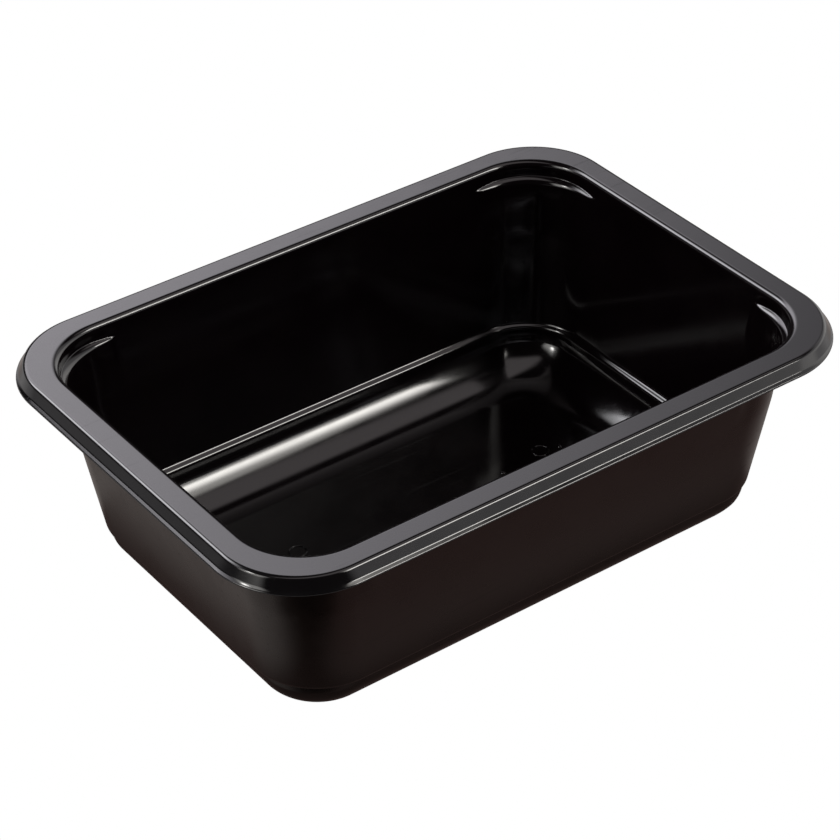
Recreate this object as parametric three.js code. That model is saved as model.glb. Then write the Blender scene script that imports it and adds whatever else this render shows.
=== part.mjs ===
// Deep rectangular food tray of thin black plastic, drawn from one sheet.
//
// The sheet is followed in section from the lip's outer edge, up the flared skirt, across the flat
// rim face and down the inner wall to the floor. That upper skin and a lower skin one sheet
// thickness below it are swept round the tray's four rounded corners and closed into one solid.
// Millimetres, +Z up, origin under the middle of the floor.

import * as THREE from 'three';

// Whole tray
const LENGTH = 180;
const WIDTH = 130.2;
const HEIGHT = 59.8;
const SHEET = 0.7;

// Rim: a flat face with a flared skirt that ends in a narrow lip with a rounded nose
const LIP_REACH = 0.8;
const LIP_NOSE = 0.6;
const LIP_SLOPE = THREE.MathUtils.degToRad(40);
const SKIRT_DROP = 2.7;
const SKIRT_FLARE = 1.75;
const RIM_FACE = 6.87;

// Inner wall, the sloping ledge near its foot and the wide cove that runs into the floor
const WALL_DRAFT = THREE.MathUtils.degToRad(7.82);
const LEDGE_LEVEL = -46.66;
const LEDGE_WIDTH = 1.45;
const LEDGE_DROP = 0.65;
const FOOT_DRAFT = THREE.MathUtils.degToRad(4);
const COVE_SWEEP = THREE.MathUtils.degToRad(56);
const COVE_RADIUS = 16.5;
const BEND_RADIUS = 5.5;
const FLOOR_LEVEL = SHEET - HEIGHT;
const FLOOR_BORDER = 1;

// Fillets across the section
const LIP_FILLET = 1;
const RIM_FILLET = 1.2;
const MOUTH_FILLET = 1.5;
const LEDGE_FILLET = 1.15;
const INSIDE_FILLET = 0.15;

// Radii of the four corners in plan, from the lip inwards, and how fast they close in along the cove
const LIP_CORNER = 24.4;
const SKIRT_CORNER = 23.3;
const RIM_CORNER = 20.8;
const MOUTH_CORNER = 18.2;
const WALL_CORNER = 17.9;
const LEDGE_CORNER = 16.2;
const BEND_CORNER = 14;
const LEAST_CORNER = 0.5;
const COVE_CLOSING = 0.5;

// Stacking lugs: each corner has a pocket under the mouth, then steps in to a lens-shaped shelf with a
// rounded edge and fades back to the wall. On the lower skin the lug sags, which keeps the sheet's
// thickness there.
const LUG_POCKET = 0.45;
const LUG_BUMP = 1.15;
const LUG_LEVEL = -5;
const LUG_RISE = 1.7;
const LUG_HALF_SPAN = 18.5;
const LUG_FULLNESS = 0.5;
const LUG_ROUNDING = 0.75;
const LUG_FADE = 16;
const LUG_SAG = 0.5;
const LUG_STEPS = 5;
const LUG_FADE_STEPS = 3;
const LUG_LEADS = [4.5, 3, 1.5];

// Facets
const ARC_TOLERANCE = 0.05;
const SAME_PLACE = 0.001;
const CORNER_STEPS = 9;
const NOSE_STEPS = 3;

const PLASTIC = new THREE.MeshStandardMaterial({ color: 0x0b0a0a, roughness: 0.28, metalness: 0 });

// One bend of the section: inset from the lip's outer edge, level below the rim face, plan radius
// of the tray's corners at that bend, and the fillet that rounds it.
function bend(inset, level, corner, fillet = 0) {
  return { inset, level, corner, fillet };
}

// Where the lip's rounded nose meets its sloping top.
function noseTop() {
  const inset = LIP_NOSE * (1 - Math.sin(LIP_SLOPE));
  return bend(inset, -SKIRT_DROP - (LIP_REACH - inset) * Math.tan(LIP_SLOPE), LIP_CORNER);
}

// Levels at which the section follows the lugs: the pocket, the step, and the fade below it.
function lugLevels() {
  const top = LUG_LEVEL + LUG_RISE / 2;
  const foot = LUG_LEVEL - LUG_RISE / 2 - LUG_SAG;
  const between = (from, to, steps) => Array.from(
    { length: steps },
    (_, i) => THREE.MathUtils.lerp(from, to, i / steps),
  );
  const pocket = (top - MOUTH_FILLET) / 2;
  return [pocket, ...between(top, foot, LUG_STEPS), ...between(foot, foot - LUG_FADE, LUG_FADE_STEPS)];
}

// The upper skin, from the lip to the flat of the floor.
function upperBends() {
  const rimInset = LIP_REACH + SKIRT_FLARE;
  const mouthInset = rimInset + RIM_FACE;
  const ledgeInset = mouthInset - LEDGE_LEVEL * Math.tan(WALL_DRAFT);
  const noseInset = ledgeInset + LEDGE_WIDTH;
  const noseLevel = LEDGE_LEVEL - LEDGE_DROP;

  const upperTurn = Math.PI / 2 - FOOT_DRAFT - COVE_SWEEP;
  const coveTangent = COVE_RADIUS * Math.tan(COVE_SWEEP / 2);
  const slope = coveTangent + BEND_RADIUS * Math.tan(upperTurn / 2);
  const bendLevel = FLOOR_LEVEL + slope * Math.sin(COVE_SWEEP);
  const bendInset = noseInset + (noseLevel - bendLevel) * Math.tan(FOOT_DRAFT);
  const coveInset = bendInset + slope * Math.cos(COVE_SWEEP);
  const floorInset = coveInset + coveTangent;
  const coveCorner = (inset) => Math.max(BEND_CORNER - COVE_CLOSING * (inset - bendInset), LEAST_CORNER);

  const mouth = bend(mouthInset, 0, MOUTH_CORNER, MOUTH_FILLET);
  const ledge = bend(ledgeInset, LEDGE_LEVEL, WALL_CORNER, LEDGE_FILLET);
  const lugPoints = lugLevels().map((level) => mix(mouth, ledge, level / LEDGE_LEVEL));

  return [
    noseTop(),
    bend(LIP_REACH, -SKIRT_DROP, SKIRT_CORNER, LIP_FILLET),
    bend(rimInset, 0, RIM_CORNER, RIM_FILLET),
    mouth,
    ...lugPoints,
    ledge,
    bend(noseInset, noseLevel, LEDGE_CORNER, LEDGE_FILLET),
    bend(bendInset, bendLevel, BEND_CORNER, BEND_RADIUS),
    bend(coveInset, FLOOR_LEVEL, coveCorner(coveInset), COVE_RADIUS),
    bend(floorInset + FLOOR_BORDER, FLOOR_LEVEL, coveCorner(floorInset + FLOOR_BORDER)),
  ];
}

const sectionPoint = (point) => new THREE.Vector2(point.inset, point.level);
const heading = (from, to) => sectionPoint(to).sub(sectionPoint(from)).normalize();
const rightOf = (direction) => new THREE.Vector2(direction.y, -direction.x);

// The lower skin: every bend moved one sheet thickness to the right of the path.
function lowerBends(path) {
  const last = path.length - 1;
  return path.map((point, i) => {
    const before = heading(path[Math.max(i, 1) - 1], path[Math.max(i, 1)]);
    const after = heading(path[Math.min(i, last - 1)], path[Math.min(i, last - 1) + 1]);
    const mitre = rightOf(before).add(rightOf(after)).normalize();
    const moved = sectionPoint(point).addScaledVector(mitre, SHEET / mitre.dot(rightOf(before)));
    const turnsLeft = before.cross(after) > 0;
    const fillet = turnsLeft ? point.fillet + SHEET : Math.max(point.fillet - SHEET, INSIDE_FILLET);
    const corner = point.corner + point.inset - moved.x;
    return bend(moved.x, moved.y, Math.max(corner, LEAST_CORNER), point.fillet > 0 ? fillet : 0);
  });
}

function mix(from, to, share) {
  return bend(
    THREE.MathUtils.lerp(from.inset, to.inset, share),
    THREE.MathUtils.lerp(from.level, to.level, share),
    THREE.MathUtils.lerp(from.corner, to.corner, share),
  );
}

// Points along the fillet at one bend, between its neighbours. A bend with no fillet is one point.
function filletPoints(previous, point, next) {
  if (point.fillet === 0) {
    return [point];
  }
  const before = heading(previous, point);
  const after = heading(point, next);
  const turn = Math.acos(THREE.MathUtils.clamp(before.dot(after), -1, 1));
  const side = Math.sign(before.cross(after));
  const tangent = point.fillet * Math.tan(turn / 2);
  const lengthBefore = sectionPoint(point).distanceTo(sectionPoint(previous));
  const lengthAfter = sectionPoint(point).distanceTo(sectionPoint(next));
  const start = mix(point, previous, tangent / lengthBefore);
  const end = mix(point, next, tangent / lengthAfter);
  const centre = sectionPoint(start).addScaledVector(rightOf(before), -side * point.fillet);
  const largestStep = 2 * Math.acos(1 - Math.min(ARC_TOLERANCE / point.fillet, 1));
  const steps = Math.max(1, Math.ceil(turn / largestStep));
  return Array.from({ length: steps + 1 }, (_, i) => {
    const place = sectionPoint(start).rotateAround(centre, (side * turn * i) / steps);
    const share = (place.x - start.inset) / (end.inset - start.inset);
    const corner = THREE.MathUtils.lerp(start.corner, end.corner, share);
    return bend(place.x, place.y, corner);
  });
}

const samePlace = (a, b) => sectionPoint(a).distanceTo(sectionPoint(b)) < SAME_PLACE;

// A skin's section as points, with every bend rounded.
function skinPoints(path) {
  const last = path.length - 1;
  const points = path.flatMap((point, i) => {
    const previous = path[Math.max(i - 1, 0)];
    const next = path[Math.min(i + 1, last)];
    return filletPoints(previous, point, next);
  });
  return points.filter((point, i) => i === 0 || !samePlace(point, points[i - 1]));
}

// How far the wall's corner stands back at a level, at a distance along the plan from the corner's
// middle. It is negative where the corner stands in.
function lugSetback(level, along) {
  if (along >= LUG_HALF_SPAN) {
    return 0;
  }
  const { clamp, smoothstep } = THREE.MathUtils;
  const lens = (1 - (along / LUG_HALF_SPAN) ** 2) ** LUG_FULLNESS;
  const rise = LUG_RISE * lens;
  const pocket = LUG_POCKET * smoothstep(-level, MOUTH_FILLET, -LUG_LEVEL - LUG_RISE / 2);
  const aboveFoot = clamp((level - LUG_LEVEL) / rise + 0.5, 0, 1);
  const step = (LUG_POCKET + LUG_BUMP) * (1 - aboveFoot ** 2) ** LUG_ROUNDING;
  const fadeStart = -LUG_LEVEL + LUG_RISE / 2;
  const faded = LUG_BUMP * smoothstep(-level, fadeStart, fadeStart + LUG_FADE);
  return lens * (pocket - step + faded);
}

// One corner of a ring: short leads on the straight sides with the arc between them.
function cornerPoints(point, quarter, sag) {
  const halfLength = LENGTH / 2 - point.inset;
  const halfWidth = WIDTH / 2 - point.inset;
  const signX = quarter === 0 || quarter === 3 ? 1 : -1;
  const signY = quarter < 2 ? 1 : -1;
  const centre = new THREE.Vector2(
    signX * (halfLength - point.corner),
    signY * (halfWidth - point.corner),
  );
  const startAngle = (quarter * Math.PI) / 2;
  const spots = [];
  LUG_LEADS.forEach((lead) => spots.push({ angle: startAngle, lead: -lead }));
  for (let step = 0; step <= CORNER_STEPS; step += 1) {
    spots.push({ angle: startAngle + (step / CORNER_STEPS) * (Math.PI / 2), lead: 0 });
  }
  const endAngle = startAngle + Math.PI / 2;
  LUG_LEADS.toReversed().forEach((lead) => spots.push({ angle: endAngle, lead }));
  const middle = startAngle + Math.PI / 4;
  const onWall = point.inset > LIP_REACH + SKIRT_FLARE + RIM_FACE / 2;
  return spots.map(({ angle, lead }) => {
    const outward = new THREE.Vector2(Math.cos(angle), Math.sin(angle));
    const onward = new THREE.Vector2(-outward.y, outward.x);
    const along = point.corner * Math.abs(angle - middle) + Math.abs(lead);
    const reach = point.corner + (onWall ? lugSetback(point.level + sag, along) : 0);
    return centre.clone().addScaledVector(outward, reach).addScaledVector(onward, lead);
  });
}

function ringPoints(point, sag) {
  return [0, 1, 2, 3].flatMap((quarter) => cornerPoints(point, quarter, sag))
    .map((place) => new THREE.Vector3(place.x, place.y, point.level + HEIGHT));
}

// The lip's rounded nose, from its bottom edge up to the lip's top.
function nosePoints() {
  const lastAngle = Math.PI / 2 - LIP_SLOPE;
  const bottom = noseTop().level - LIP_NOSE * Math.sin(lastAngle);
  return Array.from({ length: NOSE_STEPS }, (_, i) => {
    const angle = lastAngle * (i / NOSE_STEPS);
    return bend(LIP_NOSE * (1 - Math.cos(angle)), bottom + LIP_NOSE * Math.sin(angle), LIP_CORNER);
  });
}

// Closed solid through a run of rings, with a flat cap across the first and the last.
function sweptSolid(rings) {
  const count = rings[0].length;
  const capCentre = (ring) => new THREE.Vector3(0, 0, ring[0].z);
  const vertices = [...rings.flat(), capCentre(rings[0]), capCentre(rings[rings.length - 1])];
  const firstCap = rings.length * count;
  const lastCap = firstCap + 1;
  const faces = [];
  for (let i = 0; i < count; i += 1) {
    const next = (i + 1) % count;
    for (let ring = 0; ring < rings.length - 1; ring += 1) {
      const low = ring * count;
      const high = low + count;
      faces.push(low + i, low + next, high + next);
      faces.push(low + i, high + next, high + i);
    }
    const lastRing = (rings.length - 1) * count;
    faces.push(firstCap, next, i);
    faces.push(lastCap, lastRing + i, lastRing + next);
  }
  const geometry = new THREE.BufferGeometry().setFromPoints(vertices);
  geometry.setIndex(faces);
  geometry.computeVertexNormals();
  return geometry;
}

// From the underside's middle out to the lip, round its nose, and back along the upper skin.
function trayGeometry() {
  const upper = upperBends();
  const outside = skinPoints(lowerBends(upper)).reverse();
  const inside = [...nosePoints(), ...skinPoints(upper)];
  return sweptSolid([
    ...outside.map((point) => ringPoints(point, LUG_SAG)),
    ...inside.map((point) => ringPoints(point, 0)),
  ]);
}

const tray = new THREE.Mesh(trayGeometry(), PLASTIC);
tray.name = 'tray';

const group = new THREE.Group();
group.add(tray);

export default group;
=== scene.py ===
"""Deep black plastic food tray: one moulded sheet in three finishes, on a plain pale studio floor."""

import math
from dataclasses import dataclass

import bpy
import numpy as np
from mathutils import Matrix, Vector


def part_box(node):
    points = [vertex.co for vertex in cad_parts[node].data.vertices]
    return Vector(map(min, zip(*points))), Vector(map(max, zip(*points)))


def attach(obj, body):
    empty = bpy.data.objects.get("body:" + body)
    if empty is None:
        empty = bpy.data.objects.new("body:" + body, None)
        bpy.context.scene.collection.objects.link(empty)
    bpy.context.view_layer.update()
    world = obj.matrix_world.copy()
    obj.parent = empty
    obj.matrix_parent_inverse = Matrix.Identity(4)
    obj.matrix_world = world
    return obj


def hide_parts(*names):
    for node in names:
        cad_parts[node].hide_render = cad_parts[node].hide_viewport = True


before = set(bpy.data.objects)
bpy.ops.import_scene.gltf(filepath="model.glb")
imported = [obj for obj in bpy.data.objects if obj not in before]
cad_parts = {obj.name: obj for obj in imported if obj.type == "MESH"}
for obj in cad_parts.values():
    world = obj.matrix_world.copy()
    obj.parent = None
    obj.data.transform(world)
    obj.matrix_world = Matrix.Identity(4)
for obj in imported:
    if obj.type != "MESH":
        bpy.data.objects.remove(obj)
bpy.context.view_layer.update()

MM = 0.001

# Whole tray, from the frame
TRAY_LOW, TRAY_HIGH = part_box("tray")
LENGTH, WIDTH, HEIGHT = TRAY_HIGH - TRAY_LOW
SHEET = 0.7 * MM

# Rim: a flat face with a flared skirt that ends in a narrow lip with a rounded nose
LIP_REACH = 0.8 * MM
LIP_NOSE = 0.6 * MM
LIP_SLOPE = math.radians(40)
SKIRT_DROP = 2.7 * MM
SKIRT_FLARE = 1.75 * MM
RIM_FACE = 6.87 * MM

# Inner wall, the sloping ledge near its foot and the wide cove that runs into the floor
WALL_DRAFT = math.radians(7.82)
LEDGE_LEVEL = -46.66 * MM
LEDGE_WIDTH = 1.45 * MM
LEDGE_DROP = 0.65 * MM
FOOT_DRAFT = math.radians(4)
COVE_SWEEP = math.radians(56)
COVE_RADIUS = 16.5 * MM
BEND_RADIUS = 5.5 * MM
FLOOR_LEVEL = SHEET - HEIGHT
FLOOR_BORDER = 1 * MM

# Fillets across the section
LIP_FILLET = 1 * MM
RIM_FILLET = 1.2 * MM
MOUTH_FILLET = 1.5 * MM
LEDGE_FILLET = 1.15 * MM
INSIDE_FILLET = 0.15 * MM

# Radii of the four corners in plan, from the lip inwards, and how fast they close in along the cove
LIP_CORNER = 24.4 * MM
SKIRT_CORNER = 23.3 * MM
RIM_CORNER = 20.8 * MM
MOUTH_CORNER = 18.2 * MM
WALL_CORNER = 17.9 * MM
LEDGE_CORNER = 16.2 * MM
BEND_CORNER = 14 * MM
LEAST_CORNER = 0.5 * MM
COVE_CLOSING = 0.5

# Stacking lugs: each corner has a pocket under the mouth, then steps in to a lens-shaped shelf with a
# rounded edge and fades back to the wall. On the lower skin the lug sags, which keeps the sheet's
# thickness there.
LUG_POCKET = 0.45 * MM
LUG_BUMP = 1.15 * MM
LUG_LEVEL = -5 * MM
LUG_RISE = 1.7 * MM
LUG_HALF_SPAN = 18.5 * MM
LUG_FULLNESS = 0.5
LUG_ROUNDING = 0.75
LUG_FADE = 16 * MM
LUG_SAG = 0.5 * MM
LUG_START = -1.2 * MOUTH_FILLET
LUG_STEPS = 64
LUG_FADE_STEPS = 12

# Plain raised marks of the mould on the floor: rings and pips, by their places in plan
RING_MARKS = [(-32.8 * MM, 12.8 * MM), (43.6 * MM, 9.1 * MM)]
RING_RADIUS = 2.3 * MM
RING_BEAD = 0.22 * MM
PIP_MARKS = [(49.2 * MM, 7.6 * MM), (29.7 * MM, 7.4 * MM)]
PIP_RADIUS = 0.7 * MM
PIP_RISE = 0.22 * MM
PIP_DIMPLE = 0.05 * MM
MARK_STEPS = 48
BEAD_STEPS = 12

# Fineness of the mesh
FILLET_STEP = math.radians(6)
COVE_STEP = math.radians(2)
WIDE_FILLET = 2.44 * MM
NOSE_STEPS = 8
CORNER_STEPS = 36
LEADS = [11 * MM, 9 * MM, 7.4 * MM, 6.4 * MM, 5.4 * MM, 4.4 * MM, 3.4 * MM, 2.4 * MM, 1.4 * MM, 0.6 * MM]
SUPPORT = 0.2 * MM
SUPPORTED_GAP = 4 * SUPPORT
SAME_PLACE = 0.001 * MM

# Camera, as a distance and offset from the middle of the rim face
PHOTO_SIZE = 840
SENSOR = 36.0
FOCAL_PIXELS = 2898.15
CAMERA_AZIMUTH = math.radians(-35.74)
CAMERA_ELEVATION = math.radians(35.54)
CAMERA_ROLL = math.radians(1.17)
RIM_IN_VIEW = (1.64 * MM, -20.08 * MM, 717.37 * MM)

# Studio floor: white to the eye. The plastic mirrors it as a soft grey glow with painted shade: a painted
# shadow round the tray's foot, painted shade in front of the tray and towards the camera, and paler far
# away.
FLOOR_SIZE = 6.0
FLOOR_GAP = 0.2 * MM
WHITE = (1.0, 1.0, 1.0, 1.0)
FLOOR_GREY = (0.37, 0.325, 0.305, 1.0)
# The next three tones are painted shade: a shadow round the tray's foot, a darker band in front of it and a
# dim patch towards the camera.
FLOOR_SHADE = (0.09, 0.06, 0.055, 1.0)
FLOOR_FRONT_SHADE = (0.165, 0.1, 0.092, 1.0)
FLOOR_DIM = (0.01, 0.006, 0.005, 1.0)
FLOOR_FAR = (0.8, 0.78, 0.78, 1.0)
FOOT_HALF = (77 * MM, 52 * MM)
SHADE_FADE = (4 * MM, 13 * MM)
FRONT_SHADE_FADE = (-30 * MM, -80 * MM)
DIM_PLACE = (-110 * MM, -92 * MM, 0.0)
DIM_FADE = (36 * MM, 56 * MM)
FAR_FADE = (200 * MM, 420 * MM)


@dataclass
class Panel:
    """A soft studio light: its colour and strength, and its edges in degrees round and above the tray.
    Round runs from +Y, behind the tray, clockwise towards +X."""

    name: str
    colour: tuple
    strength: float
    middle: float
    half_width: float
    side_edge: float
    bottom: float
    bottom_edge: float
    top: float
    top_edge: float


PANELS = [
    Panel("back_softbox", (0.99, 0.99, 1.02), 6.0, -28.0, 16.0, 12.0, 29.0, 8.0, 52.0, 12.0),
    Panel("back_glow", (1.0, 0.965, 1.035), 4.25, -12.0, 47.0, 42.0, 27.0, 8.0, 45.0, 8.0),
    Panel("front_strip", (1.03, 1.0, 0.95), 19.0, 147.5, 11.0, 5.0, 29.5, 3.0, 37.0, 12.0),
    Panel("front_glow", (1.03, 1.0, 0.95), 5.0, 150.0, 10.0, 6.0, 26.0, 3.0, 50.0, 8.0),
    Panel("left_softbox", (1.02, 1.0, 0.97), 4.0, -86.0, 15.0, 12.0, 15.0, 8.0, 46.0, 10.0),
    Panel("left_lamp", (1.02, 1.0, 0.97), 36.0, -79.0, 3.5, 5.0, 34.0, 5.0, 39.5, 5.0),
    Panel("right_surround", (1.0, 0.98, 1.0), 0.85, 106.0, 52.0, 16.0, -10.0, 5.0, 42.0, 8.0),
    Panel("right_glow", (1.02, 1.0, 0.95), 0.9, 98.0, 43.0, 10.0, 4.0, 8.0, 28.0, 8.0),
    Panel("left_surround", (1.0, 0.98, 1.0), 0.7, -60.0, 60.0, 20.0, -10.0, 5.0, 7.0, 8.0),
    Panel("under_glow", (1.0, 0.98, 0.97), 0.8, 180.0, 80.0, 80.0, -70.0, 30.0, -12.0, 16.0),
]
BOARD_COLOUR = (1.06, 0.97, 0.98)
BOARD_STRENGTH = 0.95
BOARD_EDGES = [Vector((0, -1, 0.05)), Vector((0.588, 0.809, 0.33)), Vector((1, 0, 0.5))]
BOARD_SOFTNESS = 0.07
BOARD_BOTTOM = (47.0, 55.0)
ROOM_COLOUR = (0.02, 0.017, 0.018)


@dataclass
class Bend:
    """One bend of the sheet's section: inset from the lip's outer edge, level below the rim face,
    plan radius of the tray's corners there, and the fillet that rounds it."""

    inset: float
    level: float
    corner: float
    fillet: float = 0.0

    def place(self):
        return np.array([self.inset, self.level])


def mix(start, end, share):
    """The point at a share of the way between two bends."""
    return Bend(
        start.inset + (end.inset - start.inset) * share,
        start.level + (end.level - start.level) * share,
        start.corner + (end.corner - start.corner) * share,
    )


def nose_top():
    """Inset and level where the lip's rounded nose meets its sloping top."""
    inset = LIP_NOSE * (1 - math.sin(LIP_SLOPE))
    return inset, -SKIRT_DROP - (LIP_REACH - inset) * math.tan(LIP_SLOPE)


def rim_bends():
    """Lip and skirt, as far as the mouth's edge."""
    rim_inset = LIP_REACH + SKIRT_FLARE
    return [
        Bend(*nose_top(), LIP_CORNER),
        Bend(LIP_REACH, -SKIRT_DROP, SKIRT_CORNER, LIP_FILLET),
        Bend(rim_inset, 0.0, RIM_CORNER, RIM_FILLET),
        Bend(rim_inset + RIM_FACE, 0.0, MOUTH_CORNER, MOUTH_FILLET),
    ]


def inside_bends(mouth):
    """Wall with the lugs' levels, ledge, foot, cove and the border of the flat floor."""
    ledge_inset = mouth.inset - LEDGE_LEVEL * math.tan(WALL_DRAFT)
    nose_inset = ledge_inset + LEDGE_WIDTH
    nose_level = LEDGE_LEVEL - LEDGE_DROP

    upper_turn = math.pi / 2 - FOOT_DRAFT - COVE_SWEEP
    cove_tangent = COVE_RADIUS * math.tan(COVE_SWEEP / 2)
    slope = cove_tangent + BEND_RADIUS * math.tan(upper_turn / 2)
    bend_level = FLOOR_LEVEL + slope * math.sin(COVE_SWEEP)
    bend_inset = nose_inset + (nose_level - bend_level) * math.tan(FOOT_DRAFT)
    cove_inset = bend_inset + slope * math.cos(COVE_SWEEP)
    border_inset = cove_inset + cove_tangent + FLOOR_BORDER

    def cove_corner(inset):
        return max(BEND_CORNER - COVE_CLOSING * (inset - bend_inset), LEAST_CORNER)

    ledge = Bend(ledge_inset, LEDGE_LEVEL, WALL_CORNER, LEDGE_FILLET)
    lug_foot = LUG_LEVEL - LUG_RISE / 2 - LUG_SAG
    lug_levels = [
        *np.linspace(LUG_START, lug_foot, LUG_STEPS),
        *np.linspace(lug_foot, lug_foot - LUG_FADE, LUG_FADE_STEPS)[1:],
    ]
    return [
        *[mix(mouth, ledge, level / LEDGE_LEVEL) for level in lug_levels],
        ledge,
        Bend(nose_inset, nose_level, LEDGE_CORNER, LEDGE_FILLET),
        Bend(bend_inset, bend_level, BEND_CORNER, BEND_RADIUS),
        Bend(cove_inset, FLOOR_LEVEL, cove_corner(cove_inset), COVE_RADIUS),
        Bend(border_inset, FLOOR_LEVEL, cove_corner(border_inset)),
    ]


def heading(start, end):
    """Unit direction from one bend to the next."""
    step = end.place() - start.place()
    return step / np.linalg.norm(step)


def right_of(direction):
    return np.array([direction[1], -direction[0]])


def turn_side(before, after):
    """Positive where the path turns left, negative where it turns right."""
    return before[0] * after[1] - before[1] * after[0]


def lower_bends(path):
    """The lower skin: every bend moved one sheet thickness to the right of the path."""
    last = len(path) - 1
    moved = []
    for i, point in enumerate(path):
        before = heading(path[max(i, 1) - 1], path[max(i, 1)])
        after = heading(path[min(i, last - 1)], path[min(i, last - 1) + 1])
        mitre = right_of(before) + right_of(after)
        mitre /= np.linalg.norm(mitre)
        place = point.place() + mitre * SHEET / mitre.dot(right_of(before))
        if turn_side(before, after) > 0:
            fillet = point.fillet + SHEET
        else:
            fillet = max(point.fillet - SHEET, INSIDE_FILLET)
        corner = max(point.corner + point.inset - place[0], LEAST_CORNER)
        moved.append(Bend(place[0], place[1], corner, fillet if point.fillet > 0 else 0.0))
    return moved


def fillet_points(previous, point, following):
    """Points along the fillet at one bend, between its neighbours."""
    if point.fillet == 0:
        return [point]
    before = heading(previous, point)
    after = heading(point, following)
    turn = math.acos(min(max(before.dot(after), -1.0), 1.0))
    side = math.copysign(1.0, turn_side(before, after))
    tangent = point.fillet * math.tan(turn / 2)
    start = mix(point, previous, tangent / np.linalg.norm(point.place() - previous.place()))
    end = mix(point, following, tangent / np.linalg.norm(point.place() - following.place()))
    centre = start.place() - right_of(before) * side * point.fillet
    arm = start.place() - centre
    step = COVE_STEP if point.fillet > WIDE_FILLET else FILLET_STEP
    steps = max(1, math.ceil(turn / step))
    points = []
    for i in range(steps + 1):
        angle = side * turn * i / steps
        swung = np.array([
            arm[0] * math.cos(angle) - arm[1] * math.sin(angle),
            arm[0] * math.sin(angle) + arm[1] * math.cos(angle),
        ])
        place = centre + swung
        share = (place[0] - start.inset) / (end.inset - start.inset)
        points.append(Bend(place[0], place[1], start.corner + (end.corner - start.corner) * share))
    return points


def skin_points(path):
    """A skin's section as points, with its bends rounded and a support point beside each fillet."""
    last = len(path) - 1
    rounded = []
    for i, point in enumerate(path):
        rounded += fillet_points(path[max(i - 1, 0)], point, path[min(i + 1, last)])
    points = [rounded[0]]
    for point in rounded[1:]:
        gap = np.linalg.norm(point.place() - points[-1].place())
        if gap < SAME_PLACE:
            continue
        if gap > SUPPORTED_GAP:
            start = points[-1]
            points += [mix(start, point, SUPPORT / gap), mix(start, point, 1 - SUPPORT / gap)]
        points.append(point)
    return points


def nose_points():
    """The lip's rounded nose, from its bottom edge up to the lip's top."""
    last_angle = math.pi / 2 - LIP_SLOPE
    bottom = nose_top()[1] - LIP_NOSE * math.sin(last_angle)
    points = []
    for i in range(NOSE_STEPS):
        angle = last_angle * i / NOSE_STEPS
        inset = LIP_NOSE * (1 - math.cos(angle))
        level = bottom + LIP_NOSE * math.sin(angle)
        points.append(Bend(inset, level, LIP_CORNER))
    return points


def smooth_step(value, start, end):
    held = np.clip((value - start) / (end - start), 0.0, 1.0)
    return held * held * (3 - 2 * held)


def lug_setback(level, along):
    """How far the wall's corner stands back at a level, along the plan from the corner's middle.
    It is negative where the corner stands in."""
    lens = np.maximum(1 - (along / LUG_HALF_SPAN) ** 2, 0.0) ** LUG_FULLNESS
    rise = np.maximum(LUG_RISE * lens, SAME_PLACE)
    top = LUG_LEVEL + LUG_RISE / 2
    foot = LUG_LEVEL - LUG_RISE / 2
    pocket = LUG_POCKET * smooth_step(level, -MOUTH_FILLET, top)
    above_foot = np.clip((level - LUG_LEVEL) / rise + 0.5, 0.0, 1.0)
    step = (LUG_POCKET + LUG_BUMP) * (1 - above_foot ** 2) ** LUG_ROUNDING
    faded = LUG_BUMP * smooth_step(level, foot, foot - LUG_FADE)
    return lens * (pocket - step + faded)


def ring_vertices(section, sag):
    """One ring of vertices round the tray for each point of the section. The lugs sit lower by the sag."""
    inset = np.array([[point.inset] for point in section])
    level = np.array([[point.level] for point in section])
    corner = np.array([[point.corner] for point in section])

    arc = np.linspace(0.0, math.pi / 2, CORNER_STEPS + 1)
    turn = np.concatenate([np.zeros(len(LEADS)), arc, np.full(len(LEADS), math.pi / 2)])
    lead = np.concatenate([-np.array(LEADS), np.zeros(len(arc)), np.array(LEADS[::-1])])
    along = corner * np.abs(turn - math.pi / 4) + np.abs(lead)
    on_wall = inset > LIP_REACH + SKIRT_FLARE + RIM_FACE / 2
    reach = corner + np.where(on_wall, lug_setback(level + sag, along), 0.0)

    corners = []
    for quarter, (side_x, side_y) in enumerate([(1, 1), (-1, 1), (-1, -1), (1, -1)]):
        angle = turn + quarter * math.pi / 2
        x = side_x * (LENGTH / 2 - inset - corner) + np.cos(angle) * reach - np.sin(angle) * lead
        y = side_y * (WIDTH / 2 - inset - corner) + np.sin(angle) * reach + np.cos(angle) * lead
        z = np.broadcast_to(level + HEIGHT, x.shape)
        corners.append(np.stack([x, y, z], axis=-1))
    return np.concatenate(corners, axis=1)


def band_quads(low, high, count):
    """Quads between two rings of vertices, given the first vertex of each."""
    spot = np.arange(count)
    following = (spot + 1) % count
    return np.stack([low + spot, low + following, high + following, high + spot], axis=-1).tolist()


def swept_faces(rings, count):
    """Quads between neighbouring rings, and a fan across the first and the last ring."""
    faces = []
    for ring in range(rings - 1):
        faces += band_quads(ring * count, (ring + 1) * count, count)
    first_centre = rings * count
    last_centre = first_centre + 1
    last_ring = (rings - 1) * count
    sides = [(spot, (spot + 1) % count) for spot in range(count)]
    faces += [[first_centre, following, spot] for spot, following in sides]
    faces += [[last_centre, last_ring + spot, last_ring + following] for spot, following in sides]
    return faces


def mesh_object(name, vertices, faces):
    mesh = bpy.data.meshes.new(name)
    mesh.from_pydata(vertices, [], faces)
    mesh.update()
    mesh.shade_smooth()
    made = bpy.data.objects.new(name, mesh)
    bpy.context.scene.collection.objects.link(made)
    return made


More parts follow.
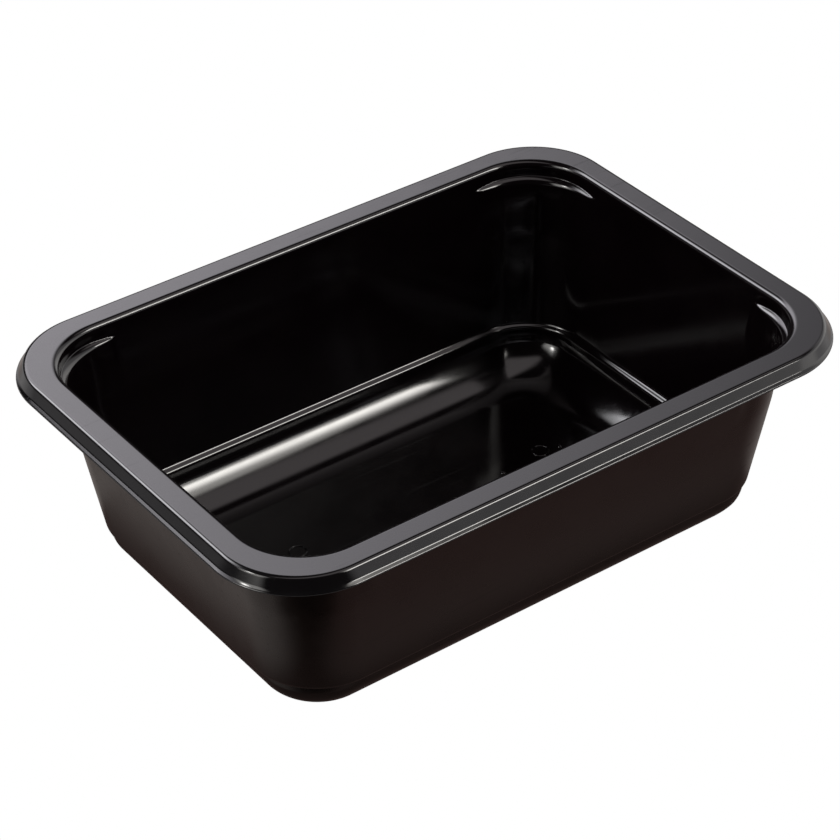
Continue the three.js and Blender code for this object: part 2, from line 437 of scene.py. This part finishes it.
def make_tray(finishes):
    """The tray's sheet, closed round its lip, with a finish for the outside, the rim and the inside."""
    rim = rim_bends()
    upper = rim + inside_bends(rim[-1])
    outside = skin_points(lower_bends(upper))[::-1]
    nose = nose_points()
    inside = skin_points(upper)

    rings = np.concatenate([ring_vertices(outside, LUG_SAG), ring_vertices(nose + inside, 0.0)])
    centres = np.array([[0.0, 0.0, rings[0, 0, 2]], [0.0, 0.0, rings[-1, 0, 2]]])
    vertices = np.concatenate([rings.reshape(-1, 3), centres])
    count = rings.shape[1]
    tray = mesh_object("tray_sheet", vertices, swept_faces(len(rings), count))

    outside_satin, rim_satin, inside_gloss = range(3)
    mouth_inset = rim[-1].inset - MOUTH_FILLET / 2
    finish_of_band = [outside_satin] * len(outside) + [rim_satin] * len(nose)
    finish_of_band += [rim_satin if point.inset < mouth_inset else inside_gloss for point in inside[:-1]]
    finish_of_face = np.concatenate([
        np.repeat(finish_of_band, count), np.full(count, outside_satin), np.full(count, inside_gloss)
    ]).astype(np.int32)
    for finish in finishes:
        tray.data.materials.append(finish)
    tray.data.polygons.foreach_set("material_index", finish_of_face)
    tray.data.update()
    return tray


def turned_mark(centre, profile):
    """Vertices and quads of one mark, turned from a closed profile of distances out and heights."""
    swing = np.linspace(0.0, 2 * math.pi, MARK_STEPS, endpoint=False)
    out = profile[:, :1]
    height = np.broadcast_to(profile[:, 1:], (len(profile), MARK_STEPS))
    x = centre[0] + out * np.cos(swing)
    y = centre[1] + out * np.sin(swing)
    vertices = np.stack([x, y, height], axis=-1).reshape(-1, 3)
    faces = []
    for ring in range(len(profile)):
        following = (ring + 1) % len(profile)
        faces += band_quads(ring * MARK_STEPS, following * MARK_STEPS, MARK_STEPS)
    return vertices, faces


def make_floor_marks(finish):
    """Raised rings and pips of the mould on the tray's floor, half sunk in the sheet."""
    swing = np.linspace(0.0, -2 * math.pi, BEAD_STEPS, endpoint=False)
    bead = np.stack([np.cos(swing), np.sin(swing)], axis=-1)
    ring_profile = bead * RING_BEAD + (RING_RADIUS, SHEET)
    pip_profile = bead * (PIP_RADIUS / 2, PIP_RISE) + (PIP_RADIUS / 2 + PIP_DIMPLE, SHEET)
    marks = [turned_mark(place, ring_profile) for place in RING_MARKS]
    marks += [turned_mark(place, pip_profile) for place in PIP_MARKS]

    vertices, faces = [], []
    for mark_vertices, mark_faces in marks:
        start = len(vertices)
        vertices += mark_vertices.tolist()
        faces += [[start + spot for spot in face] for face in mark_faces]
    piece = mesh_object("floor_marks", vertices, faces)
    piece.data.materials.append(finish)
    return piece


def add_node(tree, kind, inputs=None, **settings):
    """A new node, with its settings and with its inputs set or linked by name or number."""
    made = tree.nodes.new(kind)
    for name, value in settings.items():
        setattr(made, name, value)
    for name, value in (inputs or {}).items():
        if isinstance(value, bpy.types.NodeSocket):
            tree.links.new(value, made.inputs[name])
        else:
            made.inputs[name].default_value = value
    return made


def calculate(tree, operation, *values):
    return add_node(tree, "ShaderNodeMath", dict(enumerate(values)), operation=operation).outputs[0]


def measure(tree, operation, *vectors):
    """A value worked out from vectors, such as a length or a distance."""
    inputs = dict(enumerate(vectors))
    return add_node(tree, "ShaderNodeVectorMath", inputs, operation=operation).outputs["Value"]


def fade(tree, value, start, end, low=0.0, high=1.0):
    """A smooth step of a value between two limits."""
    inputs = {"Value": value, "From Min": start, "From Max": end, "To Min": low, "To Max": high}
    return add_node(tree, "ShaderNodeMapRange", inputs, interpolation_type="SMOOTHSTEP").outputs["Result"]


def blend_colour(tree, share, first, second):
    """A colour between two others, by a share."""
    node = add_node(tree, "ShaderNodeMix", {"Factor": share}, data_type="RGBA")
    ends = [socket for socket in node.inputs if socket.type == "RGBA"]
    for socket, value in zip(ends, (first, second)):
        if isinstance(value, bpy.types.NodeSocket):
            tree.links.new(value, socket)
        else:
            socket.default_value = value
    return [socket for socket in node.outputs if socket.type == "RGBA"][0]


def new_group(name, inputs, outputs):
    """A shader node group with named value sockets, and its inner input and output sockets."""
    group = bpy.data.node_groups.new(name, "ShaderNodeTree")
    for label, default in inputs.items():
        socket = group.interface.new_socket(label, in_out="INPUT", socket_type="NodeSocketFloat")
        socket.default_value = default
    for label in outputs:
        group.interface.new_socket(label, in_out="OUTPUT", socket_type="NodeSocketFloat")
    inner_inputs = add_node(group, "NodeGroupInput").outputs
    inner_outputs = add_node(group, "NodeGroupOutput").inputs
    return group, inner_inputs, inner_outputs


def place_group(tree, group, values):
    """A group placed in a tree, with its own values. Returns its outputs."""
    return add_node(tree, "ShaderNodeGroup", values, node_tree=group).outputs


# Limits that turn noise into the mottle, specks and rubs, and the run of the rubs
MOTTLE_LIMITS = (0.32, 0.68)
SPECK_LIMITS = (0.03, 0.012)
RUB_LIMITS = (0.62, 0.74)
RUB_TURN = (0.5, 0.35, 0.9)
RUB_STRETCH = (1.0, 26.0, 26.0)


def moulded_grain_group():
    """Grain that the mould leaves in the plastic: its relief, and a slow mottle of its sheen."""
    group, given, result = new_group(
        "moulded_grain", {"Grain Scale": 2200.0, "Mottle Scale": 60.0}, ["Relief", "Mottle"]
    )
    place = add_node(group, "ShaderNodeTexCoord").outputs["Object"]
    grain = add_node(
        group, "ShaderNodeTexNoise",
        {"Vector": place, "Scale": given["Grain Scale"], "Detail": 1.0, "Roughness": 0.55},
    ).outputs["Fac"]
    slow = add_node(
        group, "ShaderNodeTexNoise",
        {"Vector": place, "Scale": given["Mottle Scale"], "Detail": 4.0, "Roughness": 0.6},
    ).outputs["Fac"]
    group.links.new(grain, result["Relief"])
    group.links.new(fade(group, slow, *MOTTLE_LIMITS), result["Mottle"])
    return group


def sheet_ripple_group():
    """Slow unevenness of a sheet that was drawn into its mould."""
    group, given, result = new_group("sheet_ripple", {"Ripple Scale": 40.0}, ["Relief"])
    place = add_node(group, "ShaderNodeTexCoord").outputs["Object"]
    ripple = add_node(
        group, "ShaderNodeTexNoise",
        {"Vector": place, "Scale": given["Ripple Scale"], "Detail": 1.0, "Roughness": 0.4},
    ).outputs["Fac"]
    group.links.new(ripple, result["Relief"])
    return group


def handling_marks_group():
    """Dust specks and hairline rubs from handling, each as a mask."""
    group, given, result = new_group(
        "handling_marks", {"Speck Scale": 160.0, "Speck Share": 0.05, "Rub Scale": 30.0}, ["Specks", "Rubs"]
    )
    place = add_node(group, "ShaderNodeTexCoord").outputs["Object"]
    cells = add_node(group, "ShaderNodeTexVoronoi", {"Vector": place, "Scale": given["Speck Scale"]})
    chance = add_node(group, "ShaderNodeSeparateColor", {"Color": cells.outputs["Color"]}).outputs["Red"]
    kept = calculate(group, "LESS_THAN", chance, given["Speck Share"])
    dot = fade(group, cells.outputs["Distance"], *SPECK_LIMITS)
    group.links.new(calculate(group, "MULTIPLY", dot, kept), result["Specks"])

    lines = add_node(
        group, "ShaderNodeMapping",
        {"Vector": place, "Rotation": RUB_TURN, "Scale": RUB_STRETCH},
    ).outputs["Vector"]
    hair = add_node(
        group, "ShaderNodeTexNoise", {"Vector": lines, "Scale": given["Rub Scale"], "Detail": 2.0}
    ).outputs["Fac"]
    group.links.new(fade(group, hair, *RUB_LIMITS), result["Rubs"])
    return group


@dataclass
class Finish:
    """One finish of the black plastic, from the mould and from handling."""

    name: str
    colour: tuple
    mottled: tuple
    sheen: tuple
    grain_scale: float
    grain_depth: float
    mottle_scale: float
    ripple_scale: float
    ripple_depth: float
    speck_share: float
    rub_roughness: float


FINISHES = [
    Finish("outside_satin", (0.0026, 0.0015, 0.0012), (0.0044, 0.0027, 0.0022), (0.26, 0.31),
           1500.0, 0.01 * MM, 90.0, 30.0, 0.1 * MM, 0.02, 0.1),
    Finish("rim_satin", (0.003, 0.0027, 0.003), (0.004, 0.0037, 0.004), (0.08, 0.12),
           2400.0, 0.0006 * MM, 120.0, 30.0, 0.015 * MM, 0.015, 0.08),
    Finish("inside_gloss", (0.0014, 0.0007, 0.001), (0.002, 0.0011, 0.0014), (0.1, 0.14),
           900.0, 0.0004 * MM, 70.0, 30.0, 0.03 * MM, 0.02, 0.08),
]
DUST_COLOUR = (0.12, 0.115, 0.11, 1.0)


def make_finish(finish, grain_group, ripple_group, marks_group):
    material = bpy.data.materials.new(finish.name)
    material.use_nodes = True
    tree = material.node_tree
    shader = tree.nodes["Principled BSDF"]
    grain = place_group(tree, grain_group, {
        "Grain Scale": finish.grain_scale, "Mottle Scale": finish.mottle_scale,
    })
    ripple = place_group(tree, ripple_group, {"Ripple Scale": finish.ripple_scale})
    marks = place_group(tree, marks_group, {"Speck Share": finish.speck_share})

    toned = blend_colour(tree, grain["Mottle"], (*finish.colour, 1.0), (*finish.mottled, 1.0))
    dusted = blend_colour(tree, marks["Specks"], toned, DUST_COLOUR)
    tree.links.new(dusted, shader.inputs["Base Color"])

    low, high = finish.sheen
    sheen = fade(tree, grain["Mottle"], 0.0, 1.0, low, high)
    rubbed = calculate(tree, "MULTIPLY_ADD", marks["Rubs"], finish.rub_roughness, sheen)
    tree.links.new(rubbed, shader.inputs["Roughness"])

    wavy = add_node(tree, "ShaderNodeBump", {"Height": ripple["Relief"], "Distance": finish.ripple_depth})
    grained = add_node(tree, "ShaderNodeBump", {
        "Height": grain["Relief"], "Distance": finish.grain_depth, "Normal": wavy.outputs["Normal"],
    })
    tree.links.new(grained.outputs["Normal"], shader.inputs["Normal"])
    return material


def make_floor():
    """Plain pale floor: white to the eye, a soft grey glow with painted shade where the plastic mirrors it,
    and clear from below.
    """
    half = FLOOR_SIZE / 2
    corners = [(-half, -half), (half, -half), (half, half), (-half, half)]
    floor = mesh_object("studio_floor", [(x, y, -FLOOR_GAP) for x, y in corners], [[0, 1, 2, 3]])
    material = bpy.data.materials.new("pale_floor")
    material.use_nodes = True
    tree = material.node_tree
    tree.nodes.remove(tree.nodes["Principled BSDF"])
    place = add_node(tree, "ShaderNodeTexCoord").outputs["Object"]
    x, y, _ = add_node(tree, "ShaderNodeSeparateXYZ", {"Vector": place}).outputs
    beside = [
        calculate(tree, "SUBTRACT", calculate(tree, "ABSOLUTE", side), foot_half)
        for side, foot_half in zip((x, y), FOOT_HALF)
    ]
    from_foot = calculate(tree, "MAXIMUM", *beside)
    from_dim = measure(tree, "DISTANCE", place, DIM_PLACE)
    from_middle = measure(tree, "LENGTH", place)

    # Painted shade in the mirrored floor: darker in front of the tray, a painted shadow round its foot and a
    # painted dim patch near the front-left corner.
    tone = blend_colour(tree, fade(tree, y, *FRONT_SHADE_FADE), FLOOR_GREY, FLOOR_FRONT_SHADE)
    tone = blend_colour(tree, fade(tree, from_foot, *SHADE_FADE), FLOOR_SHADE, tone)
    tone = blend_colour(tree, fade(tree, from_dim, *DIM_FADE), FLOOR_DIM, tone)
    tone = blend_colour(tree, fade(tree, from_middle, *FAR_FADE), tone, FLOOR_FAR)
    mirrored = add_node(tree, "ShaderNodeEmission", {"Color": tone}).outputs["Emission"]
    seen = add_node(tree, "ShaderNodeEmission", {"Color": WHITE}).outputs["Emission"]
    to_eye = add_node(tree, "ShaderNodeLightPath").outputs["Is Camera Ray"]
    top = add_node(tree, "ShaderNodeMixShader", {0: to_eye, 1: mirrored, 2: seen}).outputs["Shader"]
    from_below = add_node(tree, "ShaderNodeNewGeometry").outputs["Backfacing"]
    clear = add_node(tree, "ShaderNodeBsdfTransparent").outputs["BSDF"]
    surface = add_node(tree, "ShaderNodeMixShader", {0: from_below, 1: top, 2: clear}).outputs["Shader"]
    tree.links.new(surface, tree.nodes["Material Output"].inputs["Surface"])
    floor.data.materials.append(material)


def panel_group():
    """The light of one panel at a direction round and above the tray."""
    names = [
        "Round", "Above", "Middle", "Half Width", "Side Edge",
        "Bottom", "Bottom Edge", "Top", "Top Edge",
    ]
    group, given, result = new_group("soft_panel", {name: 0.0 for name in names}, ["Light"])
    turned = calculate(group, "SUBTRACT", given["Round"], given["Middle"])
    off = calculate(group, "ABSOLUTE", calculate(group, "WRAP", turned, 180.0, -180.0))

    def edge(value, limit, softness, sign):
        half_out = 0.5 * sign
        outer = calculate(group, "MULTIPLY_ADD", softness, half_out, limit)
        inner = calculate(group, "MULTIPLY_ADD", softness, -half_out, limit)
        return fade(group, value, outer, inner)

    sides = edge(off, given["Half Width"], given["Side Edge"], 1)
    bottom = edge(given["Above"], given["Bottom"], given["Bottom Edge"], -1)
    top = edge(given["Above"], given["Top"], given["Top Edge"], 1)
    light = calculate(group, "MULTIPLY", calculate(group, "MULTIPLY", sides, bottom), top)
    group.links.new(light, result["Light"])
    return group


def make_studio():
    """Soft panels and an overhead board round the tray, in front of a plain white surround."""
    world = bpy.data.worlds.new("studio")
    bpy.context.scene.world = world
    world.use_nodes = True
    tree = world.node_tree
    direction = add_node(tree, "ShaderNodeTexCoord").outputs["Generated"]
    x, y, z = add_node(tree, "ShaderNodeSeparateXYZ", {"Vector": direction}).outputs
    round_tray = calculate(tree, "DEGREES", calculate(tree, "ARCTAN2", x, y))
    above = calculate(tree, "DEGREES", calculate(tree, "ARCSINE", z))

    group = panel_group()
    lights = []
    for panel in PANELS:
        light = place_group(tree, group, {
            "Round": round_tray, "Above": above, "Middle": panel.middle, "Half Width": panel.half_width,
            "Side Edge": panel.side_edge, "Bottom": panel.bottom, "Bottom Edge": panel.bottom_edge,
            "Top": panel.top, "Top Edge": panel.top_edge,
        })["Light"]
        lights.append((light, Vector(panel.colour) * panel.strength))

    board = fade(tree, above, *BOARD_BOTTOM)
    for edge in BOARD_EDGES:
        over = measure(tree, "DOT_PRODUCT", direction, edge)
        board = calculate(tree, "MULTIPLY", board, fade(tree, over, -BOARD_SOFTNESS, BOARD_SOFTNESS))
    lights.append((board, Vector(BOARD_COLOUR) * BOARD_STRENGTH))

    total = add_node(tree, "ShaderNodeCombineXYZ", dict(enumerate(ROOM_COLOUR))).outputs["Vector"]
    for light, colour in lights:
        total = add_node(
            tree, "ShaderNodeVectorMath", {0: light, 1: colour, 2: total}, operation="MULTIPLY_ADD"
        ).outputs["Vector"]
    lit = add_node(tree, "ShaderNodeBackground", {"Color": total}).outputs["Background"]
    seen = add_node(tree, "ShaderNodeBackground", {"Color": WHITE}).outputs["Background"]
    to_eye = add_node(tree, "ShaderNodeLightPath").outputs["Is Camera Ray"]
    surround = add_node(tree, "ShaderNodeMixShader", {0: to_eye, 1: lit, 2: seen}).outputs["Shader"]
    tree.links.new(surround, tree.nodes["World Output"].inputs["Surface"])


def make_camera():
    """The photograph's view: it looks along +Y turned by the azimuth and down by the elevation."""
    turned = Matrix.Rotation(CAMERA_AZIMUTH, 3, "Z")
    right = turned @ Vector((1, 0, 0))
    ahead = turned @ Vector((0, 1, 0))
    forward = ahead * math.cos(CAMERA_ELEVATION) - Vector((0, 0, math.sin(CAMERA_ELEVATION)))
    roll = Matrix.Rotation(CAMERA_ROLL, 3, forward)
    right = roll @ right
    down = forward.cross(right)
    rim_middle = Vector((0, 0, TRAY_HIGH.z))
    across, below, away = RIM_IN_VIEW
    place = rim_middle - right * across - down * below - forward * away

    data = bpy.data.cameras.new("photo_view")
    data.sensor_width = SENSOR
    data.lens = SENSOR * FOCAL_PIXELS / PHOTO_SIZE
    camera = bpy.data.objects.new("photo_view", data)
    turn = Matrix((right, -down, -forward)).transposed().to_4x4()
    camera.matrix_world = Matrix.Translation(place) @ turn
    bpy.context.scene.collection.objects.link(camera)
    bpy.context.scene.camera = camera


make_camera()
make_floor()
make_studio()
bpy.context.scene.view_settings.view_transform = "Standard"

grain_group = moulded_grain_group()
ripple_group = sheet_ripple_group()
marks_group = handling_marks_group()
finishes = [make_finish(finish, grain_group, ripple_group, marks_group) for finish in FINISHES]
tray_sheet = make_tray(finishes)
floor_marks = make_floor_marks(finishes[-1])
for piece in (tray_sheet, floor_marks):
    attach(piece, "root")
    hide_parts("tray")
